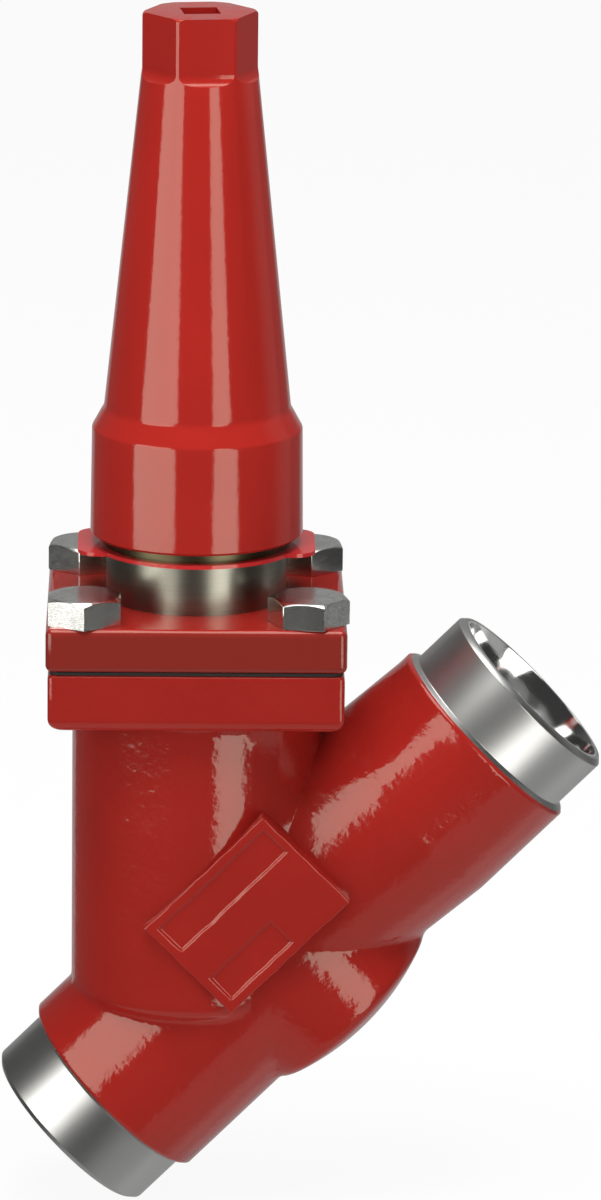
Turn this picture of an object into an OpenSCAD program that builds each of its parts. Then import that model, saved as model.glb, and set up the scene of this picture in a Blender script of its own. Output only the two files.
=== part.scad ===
// Shut-off valve with weld ends, a bolted bonnet and a screwed sealing cap.
// Millimetres, +Z up along the spindle. The pipe axis lies in the XZ plane and rises from the
// inlet at the lower left to the outlet at the upper right. The origin is the centre of the
// inlet weld face. Heights named ..._z are measured from the crossing of the two axes.

/* [Weld ends] */
// Outside diameter of both weld ends
weld_od = 48.3; // [46:0.1:50]
// Wall of both weld ends
weld_wall = 2.6; // [2.2:0.1:3.2]
// Length of the bare machined stub at each end, bevel included
stub_len = 14.6; // [10:0.1:18]
// Length of the weld bevel on the outer edge of each end face
weld_bevel = 1.2; // [0.6:0.1:1.6]
// Depth of the machined bore in each end
bore_len = 17; // [12:0.5:22]
// Step between the machined bore and the cast passage behind it
passage_step = 0.5; // [0.3:0.1:1]
// How far the rounded elbow lies inside the passage
elbow_inset = 0.4; // [0.2:0.1:1]
// Distance from the crossing of the axes to the inlet face
inlet_reach = 42.5; // [40:0.5:60]
// Distance from the crossing of the axes to the outlet face
outlet_reach = 114.2; // [108:0.1:130]
// Angle between the spindle and the pipe axis
pipe_tilt = 45; // [43:0.5:47]

/* [Housing] */
// Diameter of the upright barrel
barrel_d = 58.9; // [58:0.1:62]
// Wall of the barrel beside the cone chamber
barrel_wall = 4; // [3.5:0.1:5]
// Height of the barrel's underside
barrel_bottom_z = 5.5; // [4:0.1:7]
// Edge radius around the barrel's underside
barrel_edge_r = 3.6; // [2:0.1:5]
// Diameter of the two branches that carry the weld ends
branch_d = 52.8; // [52.2:0.1:54]
// Length of the bare chamfer between branch and stub
shoulder_len = 1.5; // [1:0.1:2]
// Height of the painted lip above the bare chamfer
shoulder_lip = 0.7; // [0.4:0.1:1]
// How far the outlet branch leans towards the bonnet at the belly
root_lean = 4.9; // [4:0.1:5.6]
// Diameter of the belly below the seat
belly_d = 52.6; // [50:0.1:52.7]
// Distance of the belly's axis from the crossing, towards the outlet
belly_shift = 28.5; // [26:0.5:29]
// Distance from the pipe axis to the top of the belly's dome
belly_reach = 30.4; // [29:0.1:33]
// Radius of the belly's dome
belly_dome_r = 62; // [54:1:70]
// Radius of the edge between the belly's side and its dome
belly_edge_r = 3; // [2:0.1:5]
// Wall of the belly
belly_wall = 4.8; // [4:0.1:6]

/* [Raised plate] */
// Length of the raised plate along the pipe
plate_l = 39.4; // [36:0.1:42]
// Width of the raised plate
plate_w = 29.4; // [27:0.1:31]
// Distance of the plate's centre from the crossing, along the pipe
plate_shift = 32; // [30:0.5:34]
// Distance of the plate's centre from the pipe axis
plate_side = 14.4; // [13:0.1:16]
// How far the plate stands out from the front of the barrel
plate_proud = 1.2; // [0.8:0.1:2]
// Length and width of the long recessed panel
panel_a = [35.2, 8]; // [6:0.1:36]
// Length and width of the short recessed panel
panel_b = [20.6, 7.5]; // [6:0.1:24]
// Margin between each panel and the plate's edges
panel_margin = 2.3; // [1.5:0.1:3]
// Depth of both panels
panel_depth = 0.6; // [0.3:0.1:0.8]

/* [Flanges] */
// Width of the bonnet's square flange
bonnet_flange_w = 70.8; // [68:0.1:74]
// How far each side of the housing's flange lies inside the bonnet's
body_flange_step = 0.5; // [0:0.1:1]
// Thickness of the housing's flange
body_flange_h = 14; // [12:0.1:15]
// Thickness of the bonnet's flange
bonnet_flange_h = 10.4; // [9:0.1:12]
// Height of the housing flange's top face
joint_z = 92.6; // [90:0.1:96]
// Corner radius of both flanges in plan
flange_corner_r = 2.4; // [2:0.1:5]
// Edge radius under the housing flange
flange_under_r = 3.6; // [2:0.1:5]
// Edge radius of the other flange edges
flange_edge_r = 0.8; // [0.5:0.1:1.5]
// Thickness of the flange gasket
gasket_h = 0.7; // [0.5:0.1:1.5]
// How far the gasket's edge lies inside the housing flange's edge
gasket_inset = 0.4; // [0.2:0.1:1]

/* [Bolts] */
// Thread diameter of the bonnet bolts
bolt_d = 10; // [8:1:12]
// Width across flats of the bolt heads
bolt_head_af = 17; // [15:1:18]
// Height of the bolt heads
bolt_head_h = 6.4; // [5:0.1:8]
// How far the flat top of a bolt head lies inside its flats
bolt_top_inset = 0.3; // [0.1:0.1:0.8]
// Distance of the bolts' axes from the sides of the bonnet's flange
bolt_edge = 9.05; // [8.5:0.05:10]
// Length that the bolts enter the housing flange
bolt_grip = 12.5; // [10:0.1:12.5]
// Turn of each bolt head: front left, front right, back left, back right
bolt_turns = [30, 51, 20, 39]; // [0:1:60]

/* [Seat and cone] */
// Diameter of the opening through the seat
seat_d = 38; // [36:0.5:39]
// Height of the seat's sealing land
seat_z = 14; // [13:0.1:16]
// Width of the seat's sealing land
seat_land_w = 3; // [2:0.1:3.5]
// Height of the sealing land above the chamber floor
seat_land_h = 1; // [0.5:0.1:1.5]
// Diameter of the valve cone
cone_d = 46.4; // [44:0.1:47]
// Width of the cone's rim around the seat ring
cone_rim_w = 0.9; // [0.6:0.1:1.5]
// Thickness of the cone's web between seat ring and spindle socket
cone_web_h = 3; // [2:0.5:4]
// Thickness of the cone's disc
cone_disc_h = 8.5; // [7:0.1:10]
// Diameter of the cone's boss around the spindle head
cone_boss_d = 27; // [25:0.5:29]
// Height of the cone's boss above its disc
cone_boss_h = 15; // [14:0.5:16]
// Height of the soft seat ring
seat_ring_h = 3.95; // [3.5:0.05:4.5]
// Height of the seat ring's lip under the clamping disc
seat_ring_step = 1; // [0.6:0.1:1.5]
// Gap between the opening and the disc that clamps the seat ring
retainer_gap = 1; // [0.7:0.1:2]
// Thickness of the disc that clamps the seat ring
retainer_h = 3.2; // [2.5:0.1:4]
// Diameter of the clamping disc's hub inside the seat ring
retainer_hub_d = 24; // [20:0.5:28]
// Thread diameter of the screw that holds the clamping disc
retainer_screw_d = 8; // [6:1:8]
// Width across flats of that screw's head
retainer_head_af = 13; // [10:0.5:13]
// Height of that screw's head
retainer_head_h = 4.8; // [4:0.1:5.5]
// Wall of the ring nut that holds the spindle head
nut_wall = 2; // [1.5:0.1:2.5]
// Diameter of the grub screw that locks the ring nut
lock_screw_d = 4; // [3:0.5:4]
// Full lift of the cone
cone_lift = 15; // [12:0.5:15.5]

/* [Spindle] */
// Diameter of the spindle where it runs in the packing
spindle_d = 16; // [14:0.5:17]
// Diameter of the spindle's thread
spindle_thread_d = 20; // [19:0.5:21]
// Length of the spindle's thread
spindle_thread_len = 35; // [30:0.5:36]
// Diameter of the spindle head held in the cone
spindle_head_d = 17; // [15:0.5:17]
// Thickness of the spindle head
spindle_head_h = 5; // [4:0.1:6]
// Diameter of the waist between head and collar
spindle_waist_d = 12; // [10:0.5:13]
// Diameter of the back-seat collar
collar_d = 26; // [24:0.5:28]
// Thickness of the back-seat collar
collar_h = 4; // [3:0.1:5]
// Distance of the back-seat ring's edge from the collar's edge
back_ring_inset = 1.5; // [1:0.1:2]
// Width of the back-seat ring
back_ring_w = 2.5; // [1.5:0.1:3]
// Depth of the back-seat ring in the collar
back_ring_h = 1.2; // [0.8:0.1:2]
// How far the back-seat ring stands above the collar
back_ring_proud = 0.1; // [0.05:0.05:0.2]
// Width across the square at the spindle's top
spindle_square = 12; // [10:0.5:12.5]
// Length of the square at the spindle's top
spindle_square_len = 14; // [10:0.5:16]
// Height of the spindle's top with the valve closed
spindle_top_z = 174; // [168:0.5:185]
// Diameter of the ball between spindle and cone
ball_d = 6; // [5:0.5:7]

/* [Bonnet] */
// Diameter of the turned neck above the flange
neck_d = 42.9; // [42:0.1:46]
// Height of the turned neck
neck_h = 12.1; // [10:0.1:14]
// Diameter of the thread that carries the cap
cap_thread_d = 38; // [36:0.1:40]
// Height of the threaded part above the neck
cap_thread_h = 22; // [18:0.5:26]
// Length of the centring spigot that enters the housing
spigot_h = 7; // [5:0.5:10]
// Diameter of the boss that holds the spindle's thread
boss_d = 34; // [32:0.5:36]
// Height of the boss's lower end, the bonnet's back seat
boss_z = 62.3; // [61:0.1:64]

/* [Packing] */
// Diameter of the packing chamber
packing_d = 25; // [24:0.5:27]
// Number of packing rings
packing_count = 3; // [2:1:4]
// Height of one packing ring
packing_ring_h = 4; // [3.5:0.1:4.2]
// Thickness of the washers below and above the packing
packing_washer_h = 1.6; // [1:0.1:2]
// Thickness of one disc spring's plate
disc_spring_t = 0.8; // [0.6:0.1:1]
// Coned height of one disc spring
disc_spring_cone = 0.7; // [0.4:0.1:1]
// Length of the gland's thread
gland_thread_len = 15; // [12:0.5:16]
// Width across flats of the gland's head
gland_af = 27; // [26:1:29]
// Height of the gland's head
gland_head_h = 7; // [5:0.5:9]
// Thickness of the O-rings in the gland
o_ring_t = 1.8; // [1.5:0.1:2]

/* [Tag] */
// Thickness of the tag plate
tag_h = 0.9; // [0.5:0.1:1.5]
// Diameter of the tag's round centre
tag_d = 49; // [46:0.5:52]
// Width of the tag over both ears
tag_w = 56.4; // [54:0.1:62]
// Depth of the tag's ears from front to back
tag_ear = 25; // [22:0.5:32]
// Corner radius of the tag's ears
tag_corner_r = 5; // [2:0.5:8]

/* [Cap] */
// Outside diameter of the cap's rim
cap_d = 50.6; // [49:0.1:53]
// Chamfer around the rim's lower edge
cap_chamfer = 0.4; // [0.2:0.1:0.8]
// Diameter of the rim at its upper edge
cap_shoulder_d = 50; // [48:0.1:52]
// Height of the cap's cylindrical rim
cap_rim_h = 26.9; // [24:0.1:30]
// Diameter of the cone just above the rim
cap_cone_d = 44.2; // [42:0.1:46]
// Height of the shoulder between rim and cone
cap_shoulder_h = 4.6; // [4:0.1:6]
// Radius of the rounded upper edge of the rim
cap_edge_r = 1.6; // [1:0.1:2.5]
// Sweep of the rounded edge and of the hollow, in degrees
cap_sweep = 35; // [25:1:45]
// Radius of the hollow between rim and cone
cap_hollow_r = 3.5; // [2:0.1:5]
// Height of the cap over all
cap_h = 125.4; // [118:0.1:140]
// Width across the flats of the cap's hexagon
cap_af = 24; // [22:0.5:26]
// Diameter over the rounded corners of the hexagon
cap_hex_d = 27.3; // [25.4:0.1:29]
// Height of the flats
cap_flat_h = 15.8; // [12:0.1:20]
// Height above the flats' foot at which the cone meets the round hexagon blank
cap_blank_h = 2.5; // [1:0.1:4]
// Radius at the foot of the flats
cap_flat_r = 1.5; // [0.8:0.1:2]
// Radius around the top edge of the hexagon
cap_top_r = 0.9; // [0.4:0.1:1.5]
// Width of the square socket in the top
cap_socket = 8.7; // [7:0.1:10]
// Depth of the square socket
cap_socket_depth = 9; // [6:0.1:10]
// Wall of the cap's cone
cap_wall = 3.5; // [3:0.1:4.5]
// Wall of the cap's cone at its upper end
cap_top_wall = 2.5; // [2:0.1:3.5]
// Chamfer at the upper end of the cap's hollow
cap_inner_chamfer = 3; // [2:0.5:4]
// Thickness of the cap's crown below the socket
cap_crown = 8; // [6:0.1:10]
// Length of the cap's inner thread
cap_thread_len = 20; // [16:0.5:22]
// Depth of the relief above the cap's inner thread
cap_relief = 0.8; // [0.5:0.1:1]
// Length of the relief above the cap's inner thread
cap_relief_len = 4; // [3:0.5:6]
// Turn of the hexagon and the socket about the axis
cap_turn = 7; // [0:1:60]
// Thickness of the cap gasket
cap_gasket_h = 2.4; // [1.5:0.1:3]
// Outside diameter of the cap gasket
cap_gasket_d = 44.6; // [43:0.1:48]

/* [Clearances] */
// Gap between parts that slide past each other
slip = 0.3; // [0.2:0.05:0.4]
// Gap around the spindle's thread and packing
shaft_gap = 0.15; // [0.1:0.01:0.25]
// Gap between parts that are screwed or set into each other
seat_gap = 0.05; // [0.02:0.01:0.1]
// Gap around the bolts in the bonnet's flange
bolt_gap = 0.5; // [0.25:0.05:0.75]

/* [Hidden] */
// Steps of a full turn of any round surface, and of the slight bend in the outlet branch
round_steps = 96;
bend_steps = 1440;
$fn = round_steps;
over = 1;
arc_steps = 6;
// Angle from the dome's middle to the edge of the small flat on its tip
dome_flat = 2;

weld_r = weld_od / 2;
bore_r = weld_r - weld_wall;
passage_r = bore_r - passage_step;
branch_r = branch_d / 2;
root_end = outlet_reach - stub_len - shoulder_len - shoulder_lip;
root_bend_r = (pow(root_end - belly_shift, 2) + pow(root_lean, 2)) / (2 * root_lean);
barrel_r = barrel_d / 2;
chamber_r = barrel_r - barrel_wall;
bridge_r = chamber_r - slip;
floor_z = seat_z - seat_land_h;
belly_r = belly_d / 2;
belly_centre = belly_reach - belly_dome_r;
body_flange_w = bonnet_flange_w - 2 * body_flange_step;
plate_face_y = barrel_r + plate_proud;
plate_back_y = chamber_r / 2;
bonnet_z = joint_z + gasket_h;
bonnet_top_z = bonnet_z + bonnet_flange_h;
neck_top_z = bonnet_top_z + neck_h;
bonnet_end_z = neck_top_z + cap_thread_h;
tag_top_z = neck_top_z + tag_h;
cap_z = tag_top_z + cap_gasket_h;
bolt_place = bonnet_flange_w / 2 - bolt_edge;
bolt_blank_r = bolt_head_af / 2 / cos(30) + over;
bolt_top_r = bolt_head_af / 2 - bolt_top_inset;
bolt_chamfer_h = (bolt_blank_r - bolt_top_r) * tan(30);

ring_z = seat_z + seat_gap;
ring_lip_z = ring_z + seat_ring_step;
disc_z = ring_lip_z + seat_gap;
disc_top_z = disc_z + cone_disc_h;
cone_top_z = disc_top_z + cone_boss_h;
groove_r = cone_d / 2 - cone_rim_w;
retainer_z = ring_lip_z - retainer_h;
retainer_r = seat_d / 2 - retainer_gap;
retainer_hub_r = retainer_hub_d / 2;
socket_z = ring_lip_z + seat_ring_h + cone_web_h;
head_z = socket_z + ball_d / 2;
head_r = spindle_head_d / 2;
nut_h = cone_top_z - head_z - spindle_head_h - slip;
collar_top_z = boss_z - cone_lift - slip;
collar_z = collar_top_z - collar_h;
thread_top_z = collar_top_z + spindle_thread_len;
spindle_r = spindle_d / 2;
back_ring_r = collar_d / 2 - back_ring_inset;
nut_r = head_r + nut_wall;

packing_z = thread_top_z + cone_lift + over;
rings_z = packing_z + packing_washer_h;
rings_top_z = rings_z + packing_count * packing_ring_h;
springs_z = rings_top_z + packing_washer_h;
springs_top_z = springs_z + 2 * (disc_spring_t + disc_spring_cone);
gland_z = bonnet_end_z - gland_thread_len;
gland_spacer_h = max(0, gland_z - springs_top_z);
packing_r = packing_d / 2;
seal_z = bonnet_end_z - gland_thread_len / 2;
wiper_z = bonnet_end_z + gland_head_h / 2;

cap_top_z = cap_z + cap_h;
cap_flat_z = cap_top_z - cap_flat_h;
cap_cone_z = cap_z + cap_rim_h + cap_shoulder_h;
cap_blank_z = cap_flat_z + cap_blank_h;
cap_slope = atan((cap_cone_d - cap_hex_d) / 2 / (cap_blank_z - cap_cone_z));
cap_inner_z = cap_top_z - cap_socket_depth - cap_crown;

// Moves the model from the crossing of the axes to the centre of the inlet face
module from_inlet() {
    translate([inlet_reach * sin(pipe_tilt), 0, inlet_reach * cos(pipe_tilt)]) children();
}

// Turns a shape so that its Z axis runs along the pipe, towards the outlet
module along_pipe() {
    rotate([0, pipe_tilt, 0]) children();
}

// Points of an arc from angle a to angle b
function arc(cx, cy, r, a, b) = [
    for (i = [0:arc_steps])
        let (t = a + (b - a) * i / arc_steps) [cx + r * cos(t), cy + r * sin(t)]
];

// Cylinder between two heights
module rod(r, from, to) {
    translate([0, 0, from]) cylinder(r = r, h = to - from);
}

// Ring between two heights
module ring(outer, inner, from, to) {
    difference() {
        rod(outer, from, to);
        rod(inner, from - over, to + over);
    }
}

// Square with rounded corners
module rounded_square(w, d, r) {
    x = w / 2 - r;
    y = d / 2 - r;
    polygon(concat(arc(x, y, r, 0, 90), arc(-x, y, r, 90, 180), arc(-x, -y, r, 180, 270),
        arc(x, -y, r, 270, 360)));
}

// Side view of a flange, with rounded lower and upper edges
module flange_side(w, h, low_r, high_r) {
    x = w / 2;
    polygon(concat(arc(x - low_r, low_r, low_r, 270, 360), arc(x - high_r, h - high_r, high_r, 0, 90),
        arc(high_r - x, h - high_r, high_r, 90, 180), arc(low_r - x, low_r, low_r, 180, 270)));
}

// Square flange that stands on z = 0
module flange(w, h, low_r, high_r) {
    intersection() {
        linear_extrude(h) rounded_square(w, w, flange_corner_r);
        rotate([90, 0, 0]) linear_extrude(w + over, center = true) flange_side(w, h, low_r, high_r);
        rotate([90, 0, 90]) linear_extrude(w + over, center = true) flange_side(w, h, low_r, high_r);
    }
}

// Repeats a shape at the four bolts
module at_bolts() {
    for (x = [-1, 1], y = [-1, 1]) translate([x * bolt_place, y * bolt_place, 0]) children();
}

// Branches with their weld stubs, as turned outlines along the pipe
module branches() {
    lip_r = branch_r - shoulder_lip;
    in_root = stub_len - inlet_reach;
    out_root = outlet_reach - stub_len;
    along_pipe() {
        rotate_extrude() polygon([
            [0, -inlet_reach], [weld_r - weld_bevel, -inlet_reach], [weld_r, weld_bevel - inlet_reach],
            [weld_r, in_root], [lip_r, in_root + shoulder_len],
            [branch_r, in_root + shoulder_len + shoulder_lip], [branch_r, belly_shift], [0, belly_shift]
        ]);
        rotate_extrude() polygon([
            [0, root_end], [branch_r, root_end],
            [branch_r, out_root - shoulder_len - shoulder_lip], [lip_r, out_root - shoulder_len],
            [weld_r, out_root], [weld_r, outlet_reach - weld_bevel],
            [weld_r - weld_bevel, outlet_reach], [0, outlet_reach]
        ]);
    }
}

// Bent length of the outlet branch, from the belly to its straight end
module branch_root() {
    along_pipe() translate([-root_bend_r, 0, root_end]) rotate([-90, 0, 0])
        rotate_extrude(angle = 2 * atan(root_lean / (root_end - belly_shift)), $fn = bend_steps)
            translate([root_bend_r, 0]) circle(r = branch_r, $fn = round_steps);
}

// Upright barrel with a rounded lower edge
module barrel() {
    r = barrel_edge_r;
    rotate_extrude() polygon(concat([[0, barrel_bottom_z]],
        arc(barrel_r - r, barrel_bottom_z + r, r, 270, 360),
        [[barrel_r, joint_z - body_flange_h / 2], [0, joint_z - body_flange_h / 2]]));
}

// Belly below the seat, square to the pipe, closed by a shallow dome with a rounded edge
module belly(inset) {
    edge_x = belly_r - inset - belly_edge_r;
    lean = asin(edge_x / (belly_dome_r - inset - belly_edge_r));
    edge_z = belly_centre + edge_x / tan(lean);
    along_pipe() translate([0, 0, belly_shift]) rotate([0, 90, 0]) rotate_extrude() polygon(concat(
        [[0, 0], [belly_r - inset, 0]], arc(edge_x, edge_z, belly_edge_r, 0, 90 - lean),
        arc(0, belly_centre, belly_dome_r - inset, 90 - lean, 90 - dome_flat),
        [[0, belly_centre + (belly_dome_r - inset) * cos(dome_flat)]]));
}

// Flat block on the front of the barrel, set along the pipe
module plate_block(l, w, shift, side, face, back) {
    along_pipe() translate([-side - w / 2, -face, shift - l / 2]) cube([w, face - back, l]);
}

// Recess in the plate, its long side at the given distance from the plate's upper long edge
module panel(size, from_edge) {
    plate_block(size[0], size[1], plate_shift - plate_l / 2 + panel_margin + size[0] / 2,
        plate_side + plate_w / 2 - from_edge - size[1] / 2, plate_face_y + over,
        plate_face_y - panel_depth);
}

// Passage from the inlet face up through the seat
module inlet_passage() {
    along_pipe() {
        rod(bore_r, -inlet_reach - over, bore_len - inlet_reach);
        rod(passage_r, -inlet_reach, 0);
    }
    sphere(passage_r - elbow_inset);
    rod(seat_d / 2, 0, seat_z + over);
}

// Passage from the chamber and the belly to the outlet face
module outlet_passage() {
    difference() {
        union() {
            along_pipe() {
                rod(bore_r, outlet_reach - bore_len, outlet_reach + over);
                rod(passage_r, seat_d / 2, outlet_reach);
            }
            belly(belly_wall);
        }
        rod(bridge_r, -belly_dome_r, floor_z);
    }
}

// Housing: barrel, flange, branches, weld ends, belly, raised plate, seat and passages
module valve_housing() {
    color("firebrick") from_inlet() difference() {
        union() {
            barrel();
            branches();
            branch_root();
            belly(0);
            translate([0, 0, joint_z - body_flange_h])
                flange(body_flange_w, body_flange_h, flange_under_r, flange_edge_r);
            plate_block(plate_l, plate_w, plate_shift, plate_side, plate_face_y, plate_back_y);
        }
        rod(chamber_r, seat_z, joint_z + over);
        ring(chamber_r, seat_d / 2 + seat_land_w, floor_z, seat_z + over);
        inlet_passage();
        outlet_passage();
        panel(panel_a, panel_margin);
        panel(panel_b, plate_w - panel_margin - panel_b[1]);
        at_bolts() rod(bolt_d / 2 + seat_gap, joint_z - body_flange_h - over, joint_z + over);
    }
}

// Bonnet: square flange, turned neck, cap thread, centring spigot and spindle boss
module bonnet() {
    color("darkkhaki") from_inlet() difference() {
        union() {
            translate([0, 0, bonnet_z])
                flange(bonnet_flange_w, bonnet_flange_h, flange_edge_r, flange_edge_r);
            rod(neck_d / 2, bonnet_z + over, neck_top_z);
            rod(cap_thread_d / 2, neck_top_z - over, bonnet_end_z);
            rod(chamber_r - slip, bonnet_z - spigot_h, bonnet_z + over);
            rod(boss_d / 2, boss_z, bonnet_z);
        }
        rod(spindle_thread_d / 2 + shaft_gap, boss_z - over, packing_z + over);
        rod(packing_r, packing_z, bonnet_end_z + over);
        at_bolts() rod(bolt_d / 2 + bolt_gap, bonnet_z - over, bonnet_top_z + over);
    }
}

// Flat gasket between the two flanges
module bonnet_gasket() {
    w = body_flange_w - 2 * gasket_inset;
    color("dimgray") from_inlet() difference() {
        translate([0, 0, joint_z]) linear_extrude(gasket_h) rounded_square(w, w, flange_corner_r);
        rod(chamber_r, joint_z - over, bonnet_z + over);
        at_bolts() rod(bolt_d / 2 + bolt_gap, joint_z - over, bonnet_z + over);
    }
}

// Hexagon bolt with a chamfered head, its head standing on z = 0
module hex_bolt(turn) {
    intersection() {
        rotate(turn) cylinder(r = bolt_head_af / 2 / cos(30), h = bolt_head_h, $fn = 6);
        rotate_extrude() polygon([[0, -over], [bolt_blank_r, -over],
            [bolt_blank_r, bolt_head_h - bolt_chamfer_h], [bolt_top_r, bolt_head_h], [0, bolt_head_h]]);
    }
    rod(bolt_d / 2, -bonnet_flange_h - gasket_h - bolt_grip, over);
}

// Four bolts that hold the bonnet
module bonnet_bolts() {
    spots = [[-1, -1], [1, -1], [-1, 1], [1, 1]];
    color("silver") from_inlet() for (i = [0:3])
        translate([spots[i][0] * bolt_place, spots[i][1] * bolt_place, bonnet_top_z])
            hex_bolt(bolt_turns[i]);
}

// Tag plate with two ears, clamped on the neck
module id_tag() {
    color("crimson") from_inlet() translate([0, 0, neck_top_z]) linear_extrude(tag_h) difference() {
        union() {
            circle(d = tag_d);
            rounded_square(tag_w, tag_ear, tag_corner_r);
        }
        circle(d = cap_thread_d + 2 * slip);
    }
}

// Flat sealing ring under the cap
module cap_gasket() {
    color("goldenrod") from_inlet()
        ring(cap_gasket_d / 2, cap_thread_d / 2 + slip, tag_top_z, cap_z);
}

// Outline of the cap: rim, rounded shoulder, cone and hexagon blank
module cap_outline() {
    rim_z = cap_z + cap_rim_h - cap_edge_r;
    hex_r = cap_hex_d / 2;
    rotate_extrude() polygon(concat(
        [[0, cap_z], [cap_d / 2 - cap_chamfer, cap_z], [cap_d / 2, cap_z + cap_chamfer]],
        arc(cap_shoulder_d / 2 - cap_edge_r, rim_z, cap_edge_r, 0, cap_sweep),
        arc(cap_cone_d / 2 + cap_hollow_r * cos(cap_slope), cap_cone_z + cap_hollow_r * sin(cap_slope),
            cap_hollow_r, 180 + cap_sweep, 180 + cap_slope),
        [[hex_r, cap_blank_z]],
        arc(hex_r - cap_top_r, cap_top_z - cap_top_r, cap_top_r, 0, 90),
        [[0, cap_top_z]]));
}

// Flats of the hexagon, each with a rounded foot that runs out into the cone
module cap_flats() {
    for (i = [0:5]) rotate(cap_turn + 30 + 60 * i) translate([cap_af / 2, 0, cap_flat_z]) {
        translate([0, -cap_d / 2, cap_flat_r]) cube([cap_d / 2, cap_d, cap_h]);
        translate([cap_flat_r, -cap_d / 2, 0]) cube([cap_d / 2, cap_d, 2 * cap_flat_r]);
        translate([cap_flat_r, 0, cap_flat_r]) rotate([90, 0, 0])
            cylinder(r = cap_flat_r, h = cap_d, center = true);
    }
}

// Hollow of the cap: thread, relief and cone
module cap_hollow() {
    thread_r = cap_thread_d / 2 + shaft_gap;
    thread_end_z = cap_z + cap_thread_len;
    relief_r = thread_r + cap_relief;
    relief_z = thread_end_z + cap_relief;
    top_r = cap_hex_d / 2 - cap_top_wall;
    rotate_extrude() polygon([
        [0, cap_z - over], [thread_r, cap_z - over], [thread_r, thread_end_z],
        [relief_r, relief_z], [relief_r, relief_z + cap_relief_len],
        [cap_cone_d / 2 - cap_wall, cap_cone_z], [top_r, cap_inner_z - cap_inner_chamfer],
        [top_r - cap_inner_chamfer, cap_inner_z], [0, cap_inner_z]
    ]);
}

// Sealing cap over the spindle
module cap() {
    color("red") from_inlet() difference() {
        cap_outline();
        cap_flats();
        cap_hollow();
        rotate(cap_turn) translate([-cap_socket / 2, -cap_socket / 2, cap_top_z - cap_socket_depth])
            cube([cap_socket, cap_socket, cap_h]);
    }
}

// Spindle: head, waist, back-seat collar, thread, shaft and square
module spindle() {
    shaft_z = spindle_top_z - spindle_square_len;
    color("gainsboro") from_inlet() difference() {
        union() {
            rod(head_r, head_z, head_z + spindle_head_h);
            rod(spindle_waist_d / 2, head_z, collar_z + over);
            rod(collar_d / 2, collar_z, collar_top_z);
            rod(spindle_thread_d / 2, collar_z, thread_top_z);
            rod(spindle_r, collar_z, shaft_z);
            intersection() {
                rod(spindle_r, shaft_z - over, spindle_top_z);
                rotate(cap_turn) translate([-spindle_square / 2, -spindle_square / 2, shaft_z - over])
                    cube([spindle_square, spindle_square, spindle_square_len + over]);
            }
        }
        rod(ball_d / 2 + slip, head_z - over, head_z + ball_d / 2 + seat_gap);
        ring(back_ring_r, back_ring_r - back_ring_w, collar_top_z - back_ring_h,
            collar_top_z + over);
    }
}

// Soft ring in the top of the collar, which seals against the boss when fully open
module back_seat_ring() {
    color("white") from_inlet()
        ring(back_ring_r - seat_gap, back_ring_r - back_ring_w + seat_gap,
            collar_top_z - back_ring_h, collar_top_z + back_ring_proud);
}

// Cone that closes the seat, with a bored boss for the spindle head
module valve_cone() {
    color("lightsteelblue") from_inlet() difference() {
        union() {
            rod(cone_d / 2, disc_z, disc_top_z);
            rod(cone_boss_d / 2, disc_top_z - over, cone_top_z);
        }
        rod(groove_r, disc_z - over, ring_z + seat_ring_h);
        rod(retainer_screw_d / 2 + seat_gap, disc_z, socket_z - over);
        rod(head_r + slip, socket_z, cone_top_z + over);
        rod(nut_r + seat_gap, cone_top_z - nut_h, cone_top_z + over);
        translate([0, 0, cone_top_z - nut_h / 2]) rotate([0, 90, 0])
            cylinder(d = lock_screw_d + 2 * seat_gap, h = cone_boss_d);
    }
}

// Soft ring that seals on the seat, with a lip under the clamping disc
module seat_ring() {
    lip_r = retainer_r + seat_gap;
    color("ivory") from_inlet() difference() {
        rod(groove_r - seat_gap, ring_z, ring_z + seat_ring_h);
        rod(lip_r, ring_z - over, ring_lip_z);
        rod(retainer_hub_r, ring_z, ring_z + seat_ring_h + over);
    }
}

// Disc that clamps the seat ring's lip to the cone
module seat_retainer() {
    color("gray") from_inlet() difference() {
        union() {
            rod(retainer_r, retainer_z, ring_lip_z);
            rod(retainer_hub_r - seat_gap, retainer_z, ring_z + seat_ring_h);
        }
        rod(retainer_screw_d / 2 + slip, retainer_z - over, ring_z + seat_ring_h + over);
    }
}

// Hexagon screw that holds the clamping disc
module retainer_screw() {
    color("silver") from_inlet() {
        translate([0, 0, retainer_z - retainer_head_h])
            cylinder(r = retainer_head_af / 2 / cos(30), h = retainer_head_h, $fn = 6);
        rod(retainer_screw_d / 2, retainer_z - retainer_head_h / 2, socket_z - over);
    }
}

// Ring nut that keeps the spindle head in the cone
module cone_nut() {
    color("darkgray") from_inlet() difference() {
        rod(nut_r, cone_top_z - nut_h, cone_top_z);
        rod(spindle_waist_d / 2 + slip, cone_top_z - nut_h - over, cone_top_z + over);
    }
}

// Grub screw that locks the ring nut
module cone_lock_screw() {
    color("dimgray") from_inlet() translate([nut_r, 0, cone_top_z - nut_h / 2]) rotate([0, 90, 0])
        cylinder(d = lock_screw_d, h = cone_boss_d / 2 - nut_r);
}

// Ball that carries the spindle's thrust on the cone
module thrust_ball() {
    color("silver") from_inlet() translate([0, 0, socket_z + ball_d / 2]) sphere(d = ball_d);
}

// Washer at the foot of the packing chamber
module packing_base_washer() {
    color("silver") from_inlet()
        ring(packing_r - seat_gap, spindle_r + shaft_gap, packing_z, rings_z);
}

// Packing rings around the spindle
module packing_rings() {
    color("white") from_inlet() for (i = [0:packing_count - 1])
        ring(packing_r - seat_gap, spindle_r + shaft_gap, rings_z + i * packing_ring_h,
            rings_z + (i + 1) * packing_ring_h - seat_gap);
}

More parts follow.
